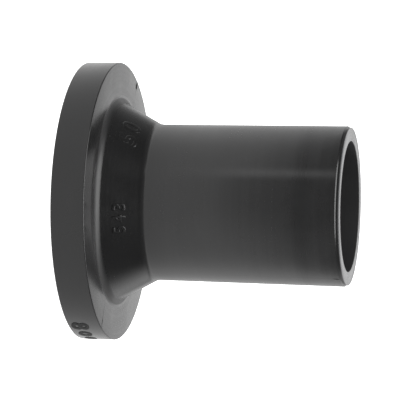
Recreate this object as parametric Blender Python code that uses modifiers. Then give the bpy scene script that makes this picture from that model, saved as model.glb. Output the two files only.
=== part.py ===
"""A moulded plastic lap joint stub end, standing on its sealing face.

The part is one turned solid. A flat collar carries the gasket and takes the push of a loose
backing flange, a filleted cone leads from the collar to a long plain spigot, and a straight
bore runs right through. The origin is the centre of the sealing face, and +Z runs up the
bore axis to the spigot's free end. Lengths are in metres.
"""

import math

import bpy
from mathutils import Vector

# Driving dimensions of the collar
COLLAR_RADIUS = 0.0440
COLLAR_THICKNESS = 0.0104
COLLAR_EDGE_RADIUS = 0.0004

# Driving dimensions of the conical neck between the collar and the spigot
NECK_BASE_RADIUS = 0.0323
NECK_HEIGHT = 0.01290
NECK_FILLET_RADIUS = 0.0040
CREASE_FILLET_RADIUS = 0.0045

# Driving dimensions of the spigot, which narrows a little from its free end to the neck
SPIGOT_RADIUS = 0.0250
SPIGOT_LENGTH = 0.06090
SPIGOT_DRAFT = 0.00033
WALL_THICKNESS = 0.00465
BORE_EDGE_RADIUS = 0.0002

# Driving dimensions of the shallow step that the mould's end ring leaves at the free end
END_STEP_LENGTH = 0.0011
END_STEP_DEPTH = 0.00032
END_STEP_RAMP = 0.0003
END_STEP_DRAFT = 0.00008

# Driving dimensions of the sealing grooves, rings cut into the collar's face
GROOVE_COUNT = 4
GROOVE_INNER_LAND = 0.0058
GROOVE_PITCH = 0.0026
GROOVE_WIDTH = 0.0012
GROOVE_FLOOR_WIDTH = 0.0005
GROOVE_DEPTH = 0.0005

# Fineness of the facets
STEPS_AROUND = 96
NECK_FILLET_STEPS = 6
CREASE_FILLET_STEPS = 3
EDGE_STEPS = 2
SHARP_ANGLE = math.radians(24.0)
MERGE_DISTANCE = 0.000001

# Black polyethylene
PLASTIC_COLOR = (0.012, 0.012, 0.0122, 1.0)
PLASTIC_ROUGHNESS = 0.30


def clear_scene():
    """Remove whatever objects the file opened with."""
    for thing in list(bpy.data.objects):
        bpy.data.objects.remove(thing, do_unlink=True)


def plastic():
    """The moulded plastic that the whole part is made of."""
    material = bpy.data.materials.new("black_polyethylene")
    material.use_nodes = True
    shader = material.node_tree.nodes["Principled BSDF"]
    shader.inputs["Base Color"].default_value = PLASTIC_COLOR
    shader.inputs["Roughness"].default_value = PLASTIC_ROUGHNESS
    shader.inputs["Metallic"].default_value = 0.0
    return material


def rounded_corner(before, corner, after, radius, steps):
    """Points of the arc that rounds a corner of the outline, tangent to both of its sides.

    The arc keeps to half of the shorter side, so two neighbouring arcs never meet.
    """
    to_before = before - corner
    to_after = after - corner
    half_angle = to_before.angle(to_after) / 2.0
    reach = min(radius / math.tan(half_angle), to_before.length / 2.0, to_after.length / 2.0)
    radius = reach * math.tan(half_angle)
    start = corner + to_before.normalized() * reach
    end = corner + to_after.normalized() * reach
    middle = (to_before.normalized() + to_after.normalized()).normalized()
    centre = corner + middle * (radius / math.sin(half_angle))
    sweep = math.pi - 2.0 * half_angle
    arc = []
    for step in range(steps + 1):
        share = step / steps
        # Weights that walk from the arm of the start to the arm of the end at an even angle
        weight_start = math.sin((1.0 - share) * sweep) / math.sin(sweep)
        weight_end = math.sin(share * sweep) / math.sin(sweep)
        arc.append(centre + (start - centre) * weight_start + (end - centre) * weight_end)
    return arc


def sealing_grooves(bore_radius):
    """Corners of the ring grooves on the sealing face, from the outermost ring inwards."""
    corners = []
    for ring in reversed(range(GROOVE_COUNT)):
        radius = bore_radius + GROOVE_INNER_LAND + ring * GROOVE_PITCH
        corners += [
            (radius + GROOVE_WIDTH / 2.0, 0.0),
            (radius + GROOVE_FLOOR_WIDTH / 2.0, GROOVE_DEPTH),
            (radius - GROOVE_FLOOR_WIDTH / 2.0, GROOVE_DEPTH),
            (radius - GROOVE_WIDTH / 2.0, 0.0),
        ]
    return corners


def stub_end_outline():
    """The closed half section as (radius, height) points, down the outside and up the bore."""
    bore_radius = SPIGOT_RADIUS - WALL_THICKNESS
    crease_height = COLLAR_THICKNESS + NECK_HEIGHT
    end_height = crease_height + SPIGOT_LENGTH
    step_radius = SPIGOT_RADIUS - END_STEP_DEPTH
    step_height = end_height - END_STEP_LENGTH

    # Each corner is a place, the radius that rounds it and the facets of that round
    corners = [
        ((step_radius - END_STEP_DRAFT, end_height), 0.0, 0),
        ((step_radius, step_height + END_STEP_RAMP), 0.0, 0),
        ((SPIGOT_RADIUS, step_height), 0.0, 0),
        ((SPIGOT_RADIUS - SPIGOT_DRAFT, crease_height), CREASE_FILLET_RADIUS, CREASE_FILLET_STEPS),
        ((NECK_BASE_RADIUS, COLLAR_THICKNESS), NECK_FILLET_RADIUS, NECK_FILLET_STEPS),
        ((COLLAR_RADIUS, COLLAR_THICKNESS), COLLAR_EDGE_RADIUS, EDGE_STEPS),
        ((COLLAR_RADIUS, 0.0), COLLAR_EDGE_RADIUS, EDGE_STEPS),
    ]
    corners += [(place, 0.0, 0) for place in sealing_grooves(bore_radius)]
    corners += [
        ((bore_radius, 0.0), BORE_EDGE_RADIUS, EDGE_STEPS),
        ((bore_radius, end_height), BORE_EDGE_RADIUS, EDGE_STEPS),
    ]

    outline = []
    places = [Vector(place) for place, radius, steps in corners]
    for index, (place, radius, steps) in enumerate(corners):
        if radius > 0.0:
            before = places[index - 1]
            after = places[(index + 1) % len(places)]
            outline += rounded_corner(before, places[index], after, radius, steps)
        else:
            outline.append(places[index])
    return outline


def turned(name, outline, material, collection):
    """Turn a closed outline about the Z axis into one solid object."""
    section = bpy.data.meshes.new(name + "_section")
    points = [(point.x, 0.0, point.y) for point in outline]
    edges = [(index, (index + 1) % len(points)) for index in range(len(points))]
    section.from_pydata(points, edges, [])
    lathe = bpy.data.objects.new(name + "_lathe", section)
    collection.objects.link(lathe)
    screw = lathe.modifiers.new("turn", "SCREW")
    screw.axis = "Z"
    screw.angle = 2.0 * math.pi
    screw.steps = STEPS_AROUND
    screw.render_steps = STEPS_AROUND
    screw.use_merge_vertices = True
    screw.merge_threshold = MERGE_DISTANCE

    evaluated = lathe.evaluated_get(bpy.context.evaluated_depsgraph_get())
    mesh = bpy.data.meshes.new_from_object(evaluated)
    mesh.name = name
    mesh.shade_smooth()
    mesh.set_sharp_from_angle(angle=SHARP_ANGLE)
    mesh.materials.append(material)
    bpy.data.objects.remove(lathe, do_unlink=True)

    solid = bpy.data.objects.new(name, mesh)
    collection.objects.link(solid)
    return solid


def main():
    clear_scene()
    collection = bpy.data.collections.new("lap_joint_stub_end")
    bpy.context.scene.collection.children.link(collection)
    turned("stub_end", stub_end_outline(), plastic(), collection)


main()
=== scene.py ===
"""The finished look of the plastic lap joint stub end, standing on its sealing face."""
import math

import bmesh
import bpy
from mathutils import Matrix, Vector


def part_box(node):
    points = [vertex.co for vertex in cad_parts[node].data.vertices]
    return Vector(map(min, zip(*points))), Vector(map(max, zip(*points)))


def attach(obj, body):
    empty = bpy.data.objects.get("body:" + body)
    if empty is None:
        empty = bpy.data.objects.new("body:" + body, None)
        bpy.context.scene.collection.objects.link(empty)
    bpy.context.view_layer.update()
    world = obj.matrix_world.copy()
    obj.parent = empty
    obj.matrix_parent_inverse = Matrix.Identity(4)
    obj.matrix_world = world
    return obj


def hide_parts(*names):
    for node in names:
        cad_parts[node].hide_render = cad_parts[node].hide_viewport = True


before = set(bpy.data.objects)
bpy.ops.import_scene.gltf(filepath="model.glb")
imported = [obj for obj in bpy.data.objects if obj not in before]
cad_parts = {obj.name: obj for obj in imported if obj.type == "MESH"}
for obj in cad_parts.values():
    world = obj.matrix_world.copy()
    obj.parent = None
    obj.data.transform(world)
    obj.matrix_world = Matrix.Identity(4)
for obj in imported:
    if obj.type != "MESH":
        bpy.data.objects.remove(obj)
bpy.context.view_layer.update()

MM = 0.001

# The part stands along Z, and the camera is in front of it, at -Y
RIGHT = (1.0, 0.0, 0.0)
BEHIND = (0.0, 1.0, 0.0)
IN_FRONT = (0.0, -1.0, 0.0)
UP = (0.0, 0.0, 1.0)

# The solid's own box gives the collar's radius and the length. The body stays a hair inside the box
HIGH_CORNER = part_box("stub_end")[1]
HAIR = 0.002 * MM
COLLAR_RADIUS = HIGH_CORNER.x - HAIR
TOP = HIGH_CORNER.z

# Sizes of the turned body. The collar's back sinks a little toward the neck
COLLAR_THICKNESS = 10.4 * MM
COLLAR_EDGE = 0.30 * MM
NECK_BASE_RADIUS = 31.9 * MM
FACE_SINK = 0.10 * MM
NECK_TOP = 23.30 * MM
NECK_FILLET = 3.5 * MM
CREASE_FILLET = 4.5 * MM
SPIGOT_RADIUS = 25.0 * MM
SPIGOT_ROOT_RADIUS = 24.67 * MM
BORE_RADIUS = 20.35 * MM
BORE_EDGE = 0.12 * MM
SHOULDER_RADIUS = 24.68 * MM
SHOULDER_LOW = 1.10 * MM
SHOULDER_HIGH = 0.80 * MM
SHOULDER_EDGE = 0.08 * MM
END_FACE_RADIUS = 24.60 * MM
END_FACE_EDGE = 0.10 * MM

# Ring grooves in the sealing face
GROOVE_COUNT = 4
GROOVE_FIRST = 26.15 * MM
GROOVE_PITCH = 2.6 * MM
GROOVE_WIDTH = 1.2 * MM
GROOVE_FLOOR = 0.5 * MM
GROOVE_DEPTH = 0.5 * MM
GROOVE_EDGE = 0.1 * MM

# How finely the body is turned and rounded, and when its edges are sharp or its points the same
STEPS_AROUND = 360
NECK_FILLET_STEPS = 14
CREASE_FILLET_STEPS = 8
COLLAR_EDGE_STEPS = 5
BORE_EDGE_STEPS = 4
SMALL_EDGE_STEPS = 2
SHARP_ANGLE = math.radians(32.0)
MERGE_DISTANCE = 0.001 * MM
CUT_TOLERANCE = 0.0001 * MM

# The split of the mould, a plane through the axis, seen as a fine bead. Its bearing, like every
# other one here, is in degrees from the front
SPLIT_BEARING = 63.6
BEAD_HALF_WIDTH = 0.14 * MM
BEAD_ON_FACE = 0.05 * MM
BEAD_ON_NECK = 0.012 * MM
BEAD_ON_SPIGOT = 0.04 * MM
BEAD_LOWEST = COLLAR_THICKNESS - 0.01 * MM
BEAD_HIGHEST = TOP - 0.2 * MM
BEAD_INNERMOST = BORE_RADIUS + 1.0 * MM
FACING_UP = 0.97

# Small burrs of flash on the split: two on the collar's back and one near the spigot's end. Each is
# (start, end, degrees from the bead on the near side, how far it stands up), where start and end are
# (radius, height). The rounding is a share of each side
BURRS = (
    ((40.9 * MM, COLLAR_THICKNESS), (43.4 * MM, COLLAR_THICKNESS), 180.0, 0.22 * MM),
    ((41.0 * MM, COLLAR_THICKNESS), (43.0 * MM, COLLAR_THICKNESS), 0.0, 0.11 * MM),
    ((24.98 * MM, 80.9 * MM), (24.98 * MM, 82.9 * MM), 0.0, 0.20 * MM),
)
BURR_WIDTH = 0.34 * MM
BURR_ROUNDING = 0.22
BURR_ROUNDING_STEPS = 2

# Plain raised numbers. Each digit has its place around the axis, in degrees from the front, and its
# share of the full height. Strokes have a straight part, a rounding and a widening, in letter sizes
RIM_DIGITS = (("8", 62.4, 1.12), ("0", 71.4, 0.86), ("0", 80.4, 0.74))
RIM_DIGIT_TALL = 5.0 * MM
RIM_DIGIT_WIDE = 5.0 * MM
RIM_DIGIT_MIDDLE = 3.8 * MM
RIM_DIGIT_RAISED = 0.12 * MM
RIM_STROKE = (0.08, 0.02, 0.02)
NECK_DIGITS = (("3", 3.6, 1.0), ("4", 10.8, 1.0), ("5", 18.0, 1.0))
NECK_DIGIT_TALL = 4.2 * MM
NECK_DIGIT_WIDE = 2.3 * MM
NECK_DIGIT_MIDDLE = 17.1 * MM
NECK_DIGIT_RAISED = 0.30 * MM
SIZE_DIGITS = (("5", -43.5, 1.0), ("0", -56.0, 1.0))
SIZE_DIGIT_TALL = 6.2 * MM
SIZE_DIGIT_WIDE = 4.2 * MM
SIZE_DIGIT_MIDDLE = 17.6 * MM
SIZE_DIGIT_RAISED = 0.14 * MM
NECK_STROKE = (0.004, 0.045, -0.012)
DIGIT_CURVE_STEPS = 6
DIGIT_EDGE_STEPS = 3
DIGIT_MERGE_DISTANCE = 1e-5

# The camera, lying on its side because the picture shows the part turned a quarter
CAMERA_DISTANCE = 672.44 * MM
CAMERA_HEIGHT = 181.46 * MM
CAMERA_CLIP = 10.0 * MM
AIM_HEIGHT = 38.06 * MM
AIM_SIDE = 0.55 * MM
CAMERA_ROLL = math.radians(91.33)
LENS = 191.3
SENSOR = 36.0

# The plastic's colours, and how much of the pale one each zone takes. In the bore the pale share is painted
# light, standing in for the light that reaches the bore's inside
BLACK = (0.012, 0.012, 0.0122, 1.0)
PALE = (0.060, 0.060, 0.062, 1.0)
CLOUD_PALENESS = 0.05
# Painted light: the bore's inside is made paler in place of the light that reaches it
BORE_PAINTED_LIGHT = 0.42
END_PALENESS = 0.90
SCUFF_PALENESS = 0.05
SPECK_PALENESS = 0.08

# The plastic's roughness between and in the clouds, and what each zone adds to it
GLOSS_LOW = 0.20
GLOSS_HIGH = 0.25
BORE_DULLNESS = 0.20
SCUFF_DULLNESS = 0.05
SPECK_DULLNESS = 0.10
FOOT_DULLNESS = 0.15
RING_DULLNESS = 0.012
GRAIN_DULLNESS = 0.015

# How much the plastic reflects: all over, at the neck's foot, and what the dull ring takes away
SHINE = 0.50
FOOT_SHINE = 0.45
DULL_RING_LOSS = 0.10
DULL_RING_LEAST = 0.4
DULL_RING_HEIGHT = 72.5 * MM
DULL_RING_WIDTH = 4.0 * MM

# Sizes of the patterns, as repeats in a metre, how much finer detail they hold, and their depth
CLOUD_SCALE = 55.0
GRAIN_SCALE = 1700.0
SCUFF_SCALE = 500.0
SPECK_SCALE = 70.0
WIDE_RING_SCALE = 260.0
FINE_RING_SCALE = 1400.0
CLOUD_DETAIL = 3.0
GRAIN_DETAIL = 3.0
SCUFF_DETAIL = 4.0
RING_DETAIL = 2.0
WIDE_RING_DEPTH = 0.02 * MM
FINE_RING_DEPTH = 0.0006 * MM
GRAIN_DEPTH = 0.0022 * MM
SPECK_DEPTH = 0.03 * MM

# Where a pattern starts and where it is full: noise levels, and distances from a speck's middle
CLOUD_FADE = (0.35, 0.65)
GRAIN_FADE = (0.30, 0.70)
SCUFF_FADE = (0.52, 0.62)
FINE_RING_FADE = (0.35, 0.65)
DULL_RING_FADE = (0.35, 0.60)
SPECK_FADE = (0.010, 0.028)

# Where a zone starts and ends, by radius or by height
BORE_ZONE = (BORE_RADIUS + 0.04 * MM, BORE_RADIUS + 0.14 * MM)
END_ZONE = (TOP - 0.25 * MM, TOP - 0.12 * MM)
RIM_ZONE = (COLLAR_RADIUS - 0.45 * MM, COLLAR_RADIUS - 0.08 * MM)
UPPER_CORNER_ZONE = (COLLAR_THICKNESS - 0.4 * MM, COLLAR_THICKNESS - 0.1 * MM)
LOWER_CORNER_ZONE = (0.1 * MM, 0.4 * MM)
FOOT_BEGINS = (COLLAR_THICKNESS, COLLAR_THICKNESS + 0.25 * MM)
FOOT_ENDS = (COLLAR_THICKNESS + 1.0 * MM, COLLAR_THICKNESS + 2.0 * MM)

# The matt skin of the number on the rim
MATT_BLACK = (0.008, 0.008, 0.0082, 1.0)
MATT_CLOUD_SCALE = 700.0
MATT_CLOUD_DETAIL = 2.0
MATT_CLOUD_FADE = (0.4, 0.6)
MATT_SHINE = 0.30
MATT_LOW = 0.50
MATT_HIGH = 0.72
PIT_SCALE = 2600.0
PIT_DETAIL = 3.0
PIT_FADE = (0.30, 0.70)
PIT_DEPTH = 0.03 * MM

# Light levels, where 1 is the white of paper. The lamp is a wide ellipse over the part
LAMP_PLACE = (-0.12, -0.17, 0.85)
LAMP_WIDTH = 1.1
LAMP_DEPTH = 0.78
LAMP_LEVEL = 4.4

# The bright backdrop behind the part, by how near a direction is to its middle and by its rise
BACKDROP_LEVEL = 1.20
BACKDROP_ABOVE = 0.35
BACKDROP_MIDDLE = (0.34, 0.94, 0.0)
BACKDROP_SIDES = (0.45, 0.90)
BACKDROP_FOOT = (-0.06, 0.17)
BACKDROP_TOP = (0.25, 0.42)

# The dim room, its bright top, and the brighter ceiling behind the part
ROOM_LEVEL = 0.30
ROOM_LEVEL_ABOVE = 0.10
ROOM_RISE = (0.15, 0.45)
TOP_LEVEL = 1.0
TOP_RISE = (0.80, 0.95)
CEILING_LEVEL = 3.2
CEILING_RISE = (0.74, 0.88)
CEILING_SIDES = (0.50, 0.95)

# The sheet that the part stands on: dimmer close by and behind, by distance and by share behind
SHEET_HALF_WIDTH = 2.0
SHEET_DROP = 0.02 * MM
SHEET_COLOUR = (0.8, 0.8, 0.8, 1.0)
SHEET_LEVEL = 1.42
SHEET_LEVEL_BEHIND = 0.8
SHEET_LEVEL_NEAR = 1.08
SHEET_NEAR = (0.10, 0.22)
SHEET_BEHIND = (0.2, 1.05)

# The dark gap beyond the sheet's front edge, by bearing from straight ahead and distance
GAP_LEFT = -38.0
GAP_LEFT_SOFTNESS = 3.0
GAP_RIGHT = 28.0
GAP_RIGHT_SOFTNESS = 35.0
GAP_REACH = (0.45, 0.85)
GAP_LEVEL = 0.50

# A brighter patch left of the dark gap, on the sheet and just above the horizon
PATCH_BEARING = -46.0
PATCH_HALF_WIDTH = 8.0
PATCH_LEVEL = 0.7
PATCH_REACH = (0.40, 0.80)
PATCH_LEVEL_ABOVE = 1.9
PATCH_RISE = (0.0, 0.16)


def angle_of(bearing):
    """The angle from +X, in radians, of a bearing in degrees from the front."""
    return math.radians(bearing - 90.0)


def rounded_outline(corners):
    """A closed wire in the XZ plane. Each corner is (radius, height, rounding, steps)."""
    bm = bmesh.new()
    verts = [bm.verts.new((radius, 0.0, height)) for radius, height, _, _ in corners]
    count = len(verts)
    for index in range(count):
        bm.edges.new((verts[index], verts[(index + 1) % count]))
    places = [vert.co.copy() for vert in verts]
    for index, (_, _, rounding, steps) in enumerate(corners):
        to_before = places[index - 1] - places[index]
        to_after = places[(index + 1) % count] - places[index]
        reach = rounding / math.tan(to_before.angle(to_after) / 2.0)
        bmesh.ops.bevel(
            bm, geom=[verts[index]], offset=reach, offset_type="OFFSET", segments=steps,
            profile=0.5, affect="VERTICES", material=-1,
        )
    return bm


def body_corners():
    """Corners of the half section, down the outside, across the sealing face and up the bore."""
    corners = [
        (END_FACE_RADIUS, TOP, END_FACE_EDGE, SMALL_EDGE_STEPS),
        (SHOULDER_RADIUS, TOP - SHOULDER_HIGH, SHOULDER_EDGE, SMALL_EDGE_STEPS),
        (SPIGOT_RADIUS, TOP - SHOULDER_LOW, SHOULDER_EDGE, SMALL_EDGE_STEPS),
        (SPIGOT_ROOT_RADIUS, NECK_TOP, CREASE_FILLET, CREASE_FILLET_STEPS),
        (NECK_BASE_RADIUS, COLLAR_THICKNESS - FACE_SINK, NECK_FILLET, NECK_FILLET_STEPS),
        (COLLAR_RADIUS, COLLAR_THICKNESS, COLLAR_EDGE, COLLAR_EDGE_STEPS),
        (COLLAR_RADIUS, 0.0, COLLAR_EDGE, COLLAR_EDGE_STEPS),
    ]
    for ring in reversed(range(GROOVE_COUNT)):
        middle = GROOVE_FIRST + ring * GROOVE_PITCH
        corners += [
            (middle + GROOVE_WIDTH / 2, 0.0, GROOVE_EDGE, SMALL_EDGE_STEPS),
            (middle + GROOVE_FLOOR / 2, GROOVE_DEPTH, GROOVE_EDGE, SMALL_EDGE_STEPS),
            (middle - GROOVE_FLOOR / 2, GROOVE_DEPTH, GROOVE_EDGE, SMALL_EDGE_STEPS),
            (middle - GROOVE_WIDTH / 2, 0.0, GROOVE_EDGE, SMALL_EDGE_STEPS),
        ]
    corners += [
        (BORE_RADIUS, 0.0, BORE_EDGE, BORE_EDGE_STEPS),
        (BORE_RADIUS, TOP, BORE_EDGE, BORE_EDGE_STEPS),
    ]
    return corners


def neck_radius(height):
    """Radius of the neck's cone at a height."""
    share = (height - COLLAR_THICKNESS + FACE_SINK) / (NECK_TOP - COLLAR_THICKNESS + FACE_SINK)
    return NECK_BASE_RADIUS + (SPIGOT_ROOT_RADIUS - NECK_BASE_RADIUS) * share


def bead_height(vert):
    """How far the bead stands up at a vertex on the split."""
    if vert.normal.z > FACING_UP:
        return BEAD_ON_FACE
    if vert.co.z < NECK_TOP + CREASE_FILLET:
        return BEAD_ON_NECK
    return BEAD_ON_SPIGOT


def raise_split_bead(bm):
    """Two meridians of the outside stand up as the fine bead that the mould's split leaves."""
    angle = angle_of(SPLIT_BEARING)
    along = Vector((math.cos(angle), math.sin(angle), 0.0))
    across = Vector(UP).cross(along)
    for offset in (-BEAD_HALF_WIDTH, 0.0, BEAD_HALF_WIDTH):
        bmesh.ops.bisect_plane(
            bm, geom=bm.verts[:] + bm.edges[:] + bm.faces[:], dist=CUT_TOLERANCE,
            plane_co=across * offset, plane_no=across,
        )
    bm.normal_update()
    for vert in bm.verts:
        outwards = Vector((vert.co.x, vert.co.y, 0.0))
        outside = vert.normal.dot(outwards) > -MERGE_DISTANCE and outwards.length > BEAD_INNERMOST
        on_split = abs(vert.co.dot(across)) < MERGE_DISTANCE
        if on_split and outside and BEAD_LOWEST < vert.co.z < BEAD_HIGHEST:
            vert.co += vert.normal * bead_height(vert)


def finished_piece(name, bm, material):
    """A piece of the object from a bmesh, shaded smooth with its corners kept."""
    mesh = bpy.data.meshes.new(name)
    bm.to_mesh(mesh)
    bm.free()
    mesh.materials.append(material)
    mesh.shade_smooth()
    mesh.set_sharp_from_angle(angle=SHARP_ANGLE)
    piece = bpy.data.objects.new(name, mesh)
    bpy.context.scene.collection.objects.link(piece)
    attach(piece, "root")
    return piece


def turned_body(material):
    """The body as one finely turned mesh, which stands for the CAD solid."""
    bm = rounded_outline(body_corners())
    bmesh.ops.spin(
        bm, geom=bm.verts[:] + bm.edges[:], axis=(0, 0, 1), cent=(0, 0, 0),
        angle=2 * math.pi, steps=STEPS_AROUND, use_merge=True,
    )
    bmesh.ops.remove_doubles(bm, verts=bm.verts[:], dist=MERGE_DISTANCE)
    bmesh.ops.recalc_face_normals(bm, faces=bm.faces[:])
    raise_split_bead(bm)
    body = finished_piece("turned_body", bm, material)
    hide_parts("stub_end")


def digit_mesh(digit, stroke):
    """One digit as a mesh in letter sizes, with rounded strokes."""
    curve = bpy.data.curves.new("digit", "FONT")
    curve.body = digit
    curve.extrude, curve.bevel_depth, curve.offset = stroke
    curve.bevel_resolution = DIGIT_EDGE_STEPS
    curve.resolution_u = DIGIT_CURVE_STEPS
    holder = bpy.data.objects.new("digit", curve)
    mesh = bpy.data.meshes.new_from_object(holder)
    bpy.data.objects.remove(holder)
    bpy.data.curves.remove(curve)
    return mesh


def add_digit(bm, digit, tall, wide, raised, stroke, place):
    """One raised digit in a bmesh, bent onto the surface that place(across, up, out) gives."""
    mesh = digit_mesh(digit, stroke)
    glyph = bmesh.new()
    glyph.from_mesh(mesh)
    bmesh.ops.remove_doubles(glyph, verts=glyph.verts[:], dist=DIGIT_MERGE_DISTANCE)
    low = [min(vert.co[axis] for vert in glyph.verts) for axis in range(3)]
    high = [max(vert.co[axis] for vert in glyph.verts) for axis in range(3)]
    for vert in glyph.verts:
        shares = [(vert.co[axis] - low[axis]) / (high[axis] - low[axis]) for axis in range(3)]
        vert.co = place((shares[0] - 0.5) * wide, (shares[1] - 0.5) * tall, (shares[2] * 2.0 - 1.0) * raised)
    bmesh.ops.recalc_face_normals(glyph, faces=glyph.faces[:])
    if glyph.calc_volume(signed=True) < 0.0:
        bmesh.ops.reverse_faces(glyph, faces=glyph.faces[:])
    glyph.to_mesh(mesh)
    glyph.free()
    bm.from_mesh(mesh)
    bpy.data.meshes.remove(mesh)


def bent_onto(middle, up_along, bearing):
    """The place(across, up, out) of a digit; middle and up_along are (radius, height) pairs."""
    up_radius, up_height = Vector(up_along).normalized()
    out_radius, out_height = abs(up_height), abs(up_radius)
    turning = 1.0 if up_height > 0.0 else -1.0
    start = angle_of(bearing)

    def place(across, up, out):
        radius = middle[0] + up * up_radius + out * out_radius
        angle = start + turning * across / middle[0]
        height = middle[1] + up * up_height + out * out_height
        return Vector((radius * math.cos(angle), radius * math.sin(angle), height))

    return place


def raised_number(name, digits, tall, wide, raised, stroke, middle, up_along, material):
    """Plain digits around the collar's rim or the neck's cone."""
    bm = bmesh.new()
    for digit, bearing, share in digits:
        add_digit(bm, digit, tall * share, wide, raised, stroke, bent_onto(middle, up_along, bearing))
    finished_piece(name, bm, material)


def rim_number(material):
    """The matt number on the collar's rim, upright."""
    raised_number(
        "rim_number", RIM_DIGITS, RIM_DIGIT_TALL, RIM_DIGIT_WIDE, RIM_DIGIT_RAISED, RIM_STROKE,
        (COLLAR_RADIUS, RIM_DIGIT_MIDDLE), (0.0, 1.0), material,
    )


def neck_numbers(material):
    """The two numbers on the neck's cone, with their heads toward the collar."""
    down_the_cone = (NECK_BASE_RADIUS - SPIGOT_ROOT_RADIUS, -(NECK_TOP - COLLAR_THICKNESS))
    raised_number(
        "neck_number", NECK_DIGITS, NECK_DIGIT_TALL, NECK_DIGIT_WIDE, NECK_DIGIT_RAISED, NECK_STROKE,
        (neck_radius(NECK_DIGIT_MIDDLE), NECK_DIGIT_MIDDLE), down_the_cone, material,
    )
    raised_number(
        "size_number", SIZE_DIGITS, SIZE_DIGIT_TALL, SIZE_DIGIT_WIDE, SIZE_DIGIT_RAISED, NECK_STROKE,
        (neck_radius(SIZE_DIGIT_MIDDLE), SIZE_DIGIT_MIDDLE), down_the_cone, material,
    )


def add_burr(bm, start, end, bearing, tall):
    """One burr from start to end, half sunk in the surface and lower at its two ends."""
    start = Vector((start[0], 0.0, start[1]))
    end = Vector((end[0], 0.0, end[1]))
    along = end - start
    lift = Vector(UP) if abs(along.x) > abs(along.z) else Vector(RIGHT)
    turn = Matrix.Rotation(angle_of(SPLIT_BEARING) + math.radians(bearing), 3, "Z")
    bar = bmesh.ops.create_cube(bm, size=1.0)["verts"]
    edges = {edge for vert in bar for edge in vert.link_edges}
    rounded = bmesh.ops.bevel(
        bm, geom=list(edges), offset=BURR_ROUNDING, offset_type="OFFSET", segments=BURR_ROUNDING_STEPS,
        profile=0.5, affect="EDGES", material=-1,
    )
    for vert in rounded["verts"]:
        lengthways, sideways, upwards = vert.co
        across = Vector((0.0, sideways * BURR_WIDTH, 0.0))
        raised = lift * (upwards * 2.0 * tall * (1.0 - abs(lengthways)))
        vert.co = turn @ ((start + end) / 2.0 + along * lengthways + across + raised)


def flash_burrs(material):
    """Small burrs of flash that the mould's split left: two on the collar's back, one at the end."""
    bm = bmesh.new()
    for burr in BURRS:
        add_burr(bm, *burr)
    bmesh.ops.recalc_face_normals(bm, faces=bm.faces[:])
    finished_piece("flash_burrs", bm, material)


def maths(tree, operation, *values):
    """A maths node fed with numbers or sockets; gives its result."""
    node = tree.nodes.new("ShaderNodeMath")
    node.operation = operation
    for socket, value in zip(node.inputs, values):
        if isinstance(value, bpy.types.NodeSocket):
            tree.links.new(value, socket)
        else:
            socket.default_value = value
    return node.outputs["Value"]


def times(tree, first, second):
    """The product of two numbers or sockets."""
    return maths(tree, "MULTIPLY", first, second)


def layered(tree, *layers):
    """The sum of some layers, each of them a socket and its share."""
    total = times(tree, *layers[0])
    for layer in layers[1:]:
        total = maths(tree, "ADD", total, times(tree, *layer))
    return total


def eased(tree, value, low, high, at_low, at_high):
    """A soft step of a socket: at_low up to low, at_high from high on."""
    node = tree.nodes.new("ShaderNodeMapRange")
    node.interpolation_type = "SMOOTHSTEP"
    tree.links.new(value, node.inputs["Value"])
    for name, number in zip(("From Min", "From Max", "To Min", "To Max"), (low, high, at_low, at_high)):
        if isinstance(number, bpy.types.NodeSocket):
            tree.links.new(number, node.inputs[name])
        else:
            node.inputs[name].default_value = number
    return node.outputs["Result"]


def dotted(tree, vector, direction):
    """How far a vector goes along a direction."""
    node = tree.nodes.new("ShaderNodeVectorMath")
    node.operation = "DOT_PRODUCT"
    tree.links.new(vector, node.inputs[0])
    node.inputs[1].default_value = direction
    return node.outputs["Value"]


def noise(tree, vector, scale, detail):
    """Soft noise of a place, about 0.5 in the middle."""
    node = tree.nodes.new("ShaderNodeTexNoise")
    tree.links.new(vector, node.inputs["Vector"])
    node.inputs["Scale"].default_value = scale
    node.inputs["Detail"].default_value = detail
    return node.outputs["Fac"]


def mixed_colour(tree, factor, first, second):
    """A colour between two, by a socket."""
    node = tree.nodes.new("ShaderNodeMix")
    node.data_type = "RGBA"
    tree.links.new(factor, node.inputs["Factor"])
    node.inputs["A"].default_value = first
    node.inputs["B"].default_value = second
    return node.outputs["Result"]


def polyethylene_base(name):
    """An empty polyethylene material: the material, its tree, its shader and the place on the piece."""
    material = bpy.data.materials.new(name)
    material.use_nodes = True
    tree = material.node_tree
    place = tree.nodes.new("ShaderNodeTexCoord").outputs["Object"]
    return material, tree, tree.nodes["Principled BSDF"], place


def around_axis(tree, place):
    """The distance of a place from the axis, and its height."""
    beside = maths(tree, "POWER", dotted(tree, place, RIGHT), 2.0)
    deep = maths(tree, "POWER", dotted(tree, place, BEHIND), 2.0)
    radius = maths(tree, "SQRT", maths(tree, "ADD", beside, deep))
    return radius, dotted(tree, place, UP)


def dented(tree, shader, relief):
    """Bumps from a relief in metres, into the shader's normal."""
    bump = tree.nodes.new("ShaderNodeBump")
    bump.inputs["Strength"].default_value = 1.0
    bump.inputs["Distance"].default_value = 1.0
    tree.links.new(relief, bump.inputs["Height"])
    tree.links.new(bump.outputs["Normal"], shader.inputs["Normal"])


def turning_rings(tree, radius, height, scale):
    """Noise that runs in rings around the axis, as turning and cooling leave it."""
    rings_at = tree.nodes.new("ShaderNodeCombineXYZ")
    tree.links.new(radius, rings_at.inputs["X"])
    tree.links.new(height, rings_at.inputs["Y"])
    return noise(tree, rings_at.outputs["Vector"], scale, RING_DETAIL)


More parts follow.
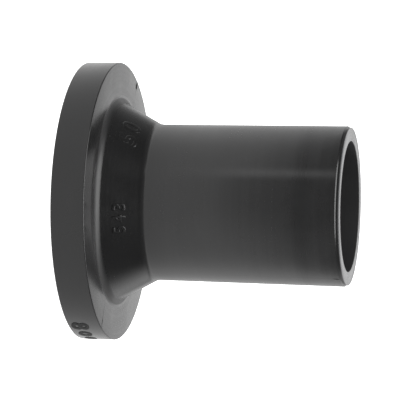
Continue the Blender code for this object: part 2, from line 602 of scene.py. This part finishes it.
def rubbed_corners(tree, place, radius, height):
    """Scuffs on the collar's two corners, where it has lain on other parts."""
    upper = eased(tree, height, *UPPER_CORNER_ZONE, 0.0, 1.0)
    lower = eased(tree, height, *LOWER_CORNER_ZONE, 1.0, 0.0)
    corner = times(tree, eased(tree, radius, *RIM_ZONE, 0.0, 1.0), maths(tree, "MAXIMUM", upper, lower))
    scuffs = noise(tree, place, SCUFF_SCALE, SCUFF_DETAIL)
    return times(tree, corner, eased(tree, scuffs, *SCUFF_FADE, 0.0, 1.0))


def dust_specks(tree, place):
    """Fine specks of dust and pits, a few to a hand's breadth."""
    cells = tree.nodes.new("ShaderNodeTexVoronoi")
    tree.links.new(place, cells.inputs["Vector"])
    cells.inputs["Scale"].default_value = SPECK_SCALE
    return eased(tree, cells.outputs["Distance"], *SPECK_FADE, 1.0, 0.0)


def neck_foot(tree, height):
    """The foot of the neck, where the mould is hard to polish."""
    return times(
        tree, eased(tree, height, *FOOT_BEGINS, 0.0, 1.0), eased(tree, height, *FOOT_ENDS, 1.0, 0.0),
    )


def dull_ring(tree, height, fine_rings):
    """What a duller, uneven ring near the spigot's free end takes from its shine."""
    away = maths(tree, "ABSOLUTE", maths(tree, "SUBTRACT", height, DULL_RING_HEIGHT))
    ring = eased(tree, away, 0.0, DULL_RING_WIDTH, DULL_RING_LOSS, 0.0)
    return times(tree, ring, eased(tree, fine_rings, *DULL_RING_FADE, DULL_RING_LEAST, 1.0))


def black_polyethylene():
    """Glossy moulded black polyethylene: clouded gloss, fine grain, rings from turning, scuffed edges."""
    material, tree, shader, place = polyethylene_base("black_polyethylene")
    radius, height = around_axis(tree, place)
    wide_rings = turning_rings(tree, radius, height, WIDE_RING_SCALE)
    fine_rings = turning_rings(tree, radius, height, FINE_RING_SCALE)
    cloud = eased(tree, noise(tree, place, CLOUD_SCALE, CLOUD_DETAIL), *CLOUD_FADE, 0.0, 1.0)
    grain = noise(tree, place, GRAIN_SCALE, GRAIN_DETAIL)
    scuff = rubbed_corners(tree, place, radius, height)
    speck = dust_specks(tree, place)
    foot = neck_foot(tree, height)

    # The bore is made paler as painted light, standing in for the light that reaches its inside; the cut end
    # face is paler than the outside, and the bore is duller too
    bore = eased(tree, radius, *BORE_ZONE, 1.0, 0.0)
    end_face = eased(tree, height, *END_ZONE, 0.0, 1.0)
    pale = layered(
        tree, (cloud, CLOUD_PALENESS), (bore, BORE_PAINTED_LIGHT), (end_face, END_PALENESS),
        (scuff, SCUFF_PALENESS), (speck, SPECK_PALENESS),
    )
    tree.links.new(mixed_colour(tree, pale, BLACK, PALE), shader.inputs["Base Color"])

    roughness = layered(
        tree, (eased(tree, cloud, 0.0, 1.0, GLOSS_LOW, GLOSS_HIGH), 1.0),
        (bore, BORE_DULLNESS), (scuff, SCUFF_DULLNESS), (speck, SPECK_DULLNESS), (foot, FOOT_DULLNESS),
        (eased(tree, fine_rings, *FINE_RING_FADE, -1.0, 1.0), RING_DULLNESS),
        (eased(tree, grain, *GRAIN_FADE, -1.0, 1.0), GRAIN_DULLNESS),
    )
    tree.links.new(roughness, shader.inputs["Roughness"])

    shine = eased(tree, foot, 0.0, 1.0, SHINE, FOOT_SHINE)
    shine = maths(tree, "SUBTRACT", shine, dull_ring(tree, height, fine_rings))
    tree.links.new(shine, shader.inputs["Specular IOR Level"])

    relief = layered(
        tree, (wide_rings, WIDE_RING_DEPTH), (fine_rings, FINE_RING_DEPTH), (grain, GRAIN_DEPTH),
        (speck, -SPECK_DEPTH),
    )
    dented(tree, shader, relief)
    return material


def matt_polyethylene():
    """The same plastic with the dull, pitted skin that a spark-eroded number has."""
    material, tree, shader, place = polyethylene_base("matt_polyethylene")
    pits = noise(tree, place, PIT_SCALE, PIT_DETAIL)
    cloud = noise(tree, place, MATT_CLOUD_SCALE, MATT_CLOUD_DETAIL)
    cloud = eased(tree, cloud, *MATT_CLOUD_FADE, 0.0, 1.0)
    tree.links.new(mixed_colour(tree, cloud, MATT_BLACK, BLACK), shader.inputs["Base Color"])
    tree.links.new(eased(tree, pits, *PIT_FADE, MATT_LOW, MATT_HIGH), shader.inputs["Roughness"])
    shader.inputs["Specular IOR Level"].default_value = MATT_SHINE
    dented(tree, shader, times(tree, pits, PIT_DEPTH))
    return material


def bearing_of(tree, place):
    """The bearing of a place from straight ahead of the part, in radians, growing to the right."""
    return maths(tree, "ARCTAN2", dotted(tree, place, RIGHT), dotted(tree, place, IN_FRONT))


def bright_patch(tree, bearing, level):
    """The brighter patch, which fades to nothing on both sides of its bearing."""
    aside = maths(tree, "ABSOLUTE", maths(tree, "SUBTRACT", bearing, math.radians(PATCH_BEARING)))
    return eased(tree, aside, 0.0, math.radians(PATCH_HALF_WIDTH), level, 0.0)


def room_seen(tree, place):
    """What the part sees of the room above the sheet, by direction."""
    rise = dotted(tree, place, UP)
    level_length = maths(tree, "SQRT", maths(tree, "SUBTRACT", 1.0, maths(tree, "POWER", rise, 2.0)))
    behind = maths(tree, "DIVIDE", dotted(tree, place, BACKDROP_MIDDLE), level_length)

    backdrop = eased(tree, behind, *BACKDROP_SIDES, 0.0, BACKDROP_LEVEL)
    backdrop = times(tree, backdrop, eased(tree, rise, *BACKDROP_FOOT, 0.0, 1.0))
    backdrop = times(tree, backdrop, eased(tree, rise, *BACKDROP_TOP, 1.0, BACKDROP_ABOVE))
    room = eased(tree, rise, *ROOM_RISE, ROOM_LEVEL, ROOM_LEVEL_ABOVE)
    room = maths(tree, "ADD", room, eased(tree, rise, *TOP_RISE, 0.0, TOP_LEVEL))
    ceiling = eased(tree, rise, *CEILING_RISE, 0.0, CEILING_LEVEL)
    ceiling = times(tree, ceiling, eased(tree, behind, *CEILING_SIDES, 0.0, 1.0))
    patch = bright_patch(tree, bearing_of(tree, place), PATCH_LEVEL_ABOVE)
    patch = times(tree, patch, eased(tree, rise, *PATCH_RISE, 1.0, 0.0))
    return maths(tree, "ADD", maths(tree, "ADD", backdrop, room), maths(tree, "ADD", ceiling, patch))


def studio_world():
    """White to the camera; to the part, a dim room with a bright backdrop and ceiling behind it."""
    world = bpy.data.worlds.new("studio")
    bpy.context.scene.world = world
    world.use_nodes = True
    tree = world.node_tree
    tree.nodes.clear()
    output = tree.nodes.new("ShaderNodeOutputWorld")
    background = tree.nodes.new("ShaderNodeBackground")
    tree.links.new(background.outputs["Background"], output.inputs["Surface"])
    rays = tree.nodes.new("ShaderNodeLightPath")
    place = tree.nodes.new("ShaderNodeTexCoord").outputs["Generated"]

    level = tree.nodes.new("ShaderNodeMix")
    tree.links.new(rays.outputs["Is Camera Ray"], level.inputs["Factor"])
    tree.links.new(room_seen(tree, place), level.inputs["A"])
    level.inputs["B"].default_value = 1.0
    tree.links.new(level.outputs["Result"], background.inputs["Strength"])


def sheet_seen(tree, place):
    """What the part sees of the sheet: bright, but dim in the gap far in front, beside a bright patch."""
    reach = tree.nodes.new("ShaderNodeVectorMath")
    reach.operation = "LENGTH"
    tree.links.new(place, reach.inputs[0])
    reach = reach.outputs["Value"]
    bearing = bearing_of(tree, place)

    behind = maths(tree, "DIVIDE", dotted(tree, place, BEHIND), reach)
    near = eased(tree, behind, *SHEET_BEHIND, SHEET_LEVEL, SHEET_LEVEL_BEHIND)
    left = (math.radians(GAP_LEFT - GAP_LEFT_SOFTNESS), math.radians(GAP_LEFT + GAP_LEFT_SOFTNESS))
    right = (math.radians(GAP_RIGHT - GAP_RIGHT_SOFTNESS), math.radians(GAP_RIGHT + GAP_RIGHT_SOFTNESS))
    gap = times(tree, eased(tree, bearing, *left, 0.0, 1.0), eased(tree, bearing, *right, 1.0, 0.0))
    far = maths(tree, "SUBTRACT", near, times(tree, gap, SHEET_LEVEL - GAP_LEVEL))
    seen = eased(tree, reach, *GAP_REACH, near, far)
    seen = times(tree, seen, eased(tree, reach, *SHEET_NEAR, SHEET_LEVEL_NEAR / SHEET_LEVEL, 1.0))
    patch = bright_patch(tree, bearing, PATCH_LEVEL)
    return maths(tree, "ADD", seen, times(tree, patch, eased(tree, reach, *PATCH_REACH, 0.0, 1.0)))


def pale_sheet():
    """White to the camera, with the part's own soft shadow; to the part, as bright as sheet_seen says."""
    material = bpy.data.materials.new("pale_sheet")
    material.use_nodes = True
    tree = material.node_tree
    tree.nodes.clear()
    output = tree.nodes.new("ShaderNodeOutputMaterial")
    rays = tree.nodes.new("ShaderNodeLightPath")
    paper = tree.nodes.new("ShaderNodeBsdfDiffuse")
    paper.inputs["Color"].default_value = SHEET_COLOUR
    glow = tree.nodes.new("ShaderNodeEmission")
    lit = tree.nodes.new("ShaderNodeAddShader")
    tree.links.new(paper.outputs["BSDF"], lit.inputs[0])
    tree.links.new(glow.outputs["Emission"], lit.inputs[1])

    sheen = tree.nodes.new("ShaderNodeEmission")
    place = tree.nodes.new("ShaderNodeTexCoord").outputs["Object"]
    tree.links.new(sheet_seen(tree, place), sheen.inputs["Strength"])
    mix = tree.nodes.new("ShaderNodeMixShader")
    tree.links.new(rays.outputs["Is Camera Ray"], mix.inputs["Fac"])
    tree.links.new(sheen.outputs["Emission"], mix.inputs[1])
    tree.links.new(lit.outputs["Shader"], mix.inputs[2])
    tree.links.new(mix.outputs["Shader"], output.inputs["Surface"])
    return material


def floor():
    """A wide pale sheet, a hair below the sealing face that the part stands on."""
    bm = bmesh.new()
    bmesh.ops.create_grid(bm, x_segments=1, y_segments=1, size=SHEET_HALF_WIDTH)
    bmesh.ops.translate(bm, vec=(0.0, 0.0, -SHEET_DROP), verts=bm.verts[:])
    mesh = bpy.data.meshes.new("floor")
    bm.to_mesh(mesh)
    bm.free()
    mesh.materials.append(pale_sheet())
    sheet = bpy.data.objects.new("floor", mesh)
    bpy.context.scene.collection.objects.link(sheet)


def overhead_lamp():
    """A wide soft lamp over the part. Its power is pi times its area times its level."""
    data = bpy.data.lights.new("overhead", "AREA")
    data.shape = "ELLIPSE"
    data.size = LAMP_WIDTH
    data.size_y = LAMP_DEPTH
    area = math.pi / 4.0 * LAMP_WIDTH * LAMP_DEPTH
    data.energy = math.pi * area * LAMP_LEVEL
    lamp = bpy.data.objects.new("overhead", data)
    lamp.location = LAMP_PLACE
    bpy.context.scene.collection.objects.link(lamp)


def camera():
    """Looks down a little on the standing part, and lies on its side."""
    data = bpy.data.cameras.new("camera")
    data.lens = LENS
    data.sensor_width = SENSOR
    data.clip_start = CAMERA_CLIP
    view = bpy.data.objects.new("camera", data)
    bpy.context.scene.collection.objects.link(view)
    place = Vector((0.0, -CAMERA_DISTANCE, CAMERA_HEIGHT))
    aim = Vector((AIM_SIDE, 0.0, AIM_HEIGHT))
    turn = (aim - place).to_track_quat("-Z", "Y").to_matrix().to_4x4()
    view.matrix_world = Matrix.Translation(place) @ turn @ Matrix.Rotation(CAMERA_ROLL, 4, "Z")
    bpy.context.scene.camera = view


def main():
    """Makes the pieces, the studio and the camera."""
    bpy.context.scene.view_settings.view_transform = "Standard"
    glossy = black_polyethylene()
    turned_body(glossy)
    rim_number(matt_polyethylene())
    neck_numbers(glossy)
    flash_burrs(glossy)
    studio_world()
    floor()
    overhead_lamp()
    camera()
    bpy.context.view_layer.update()


main()
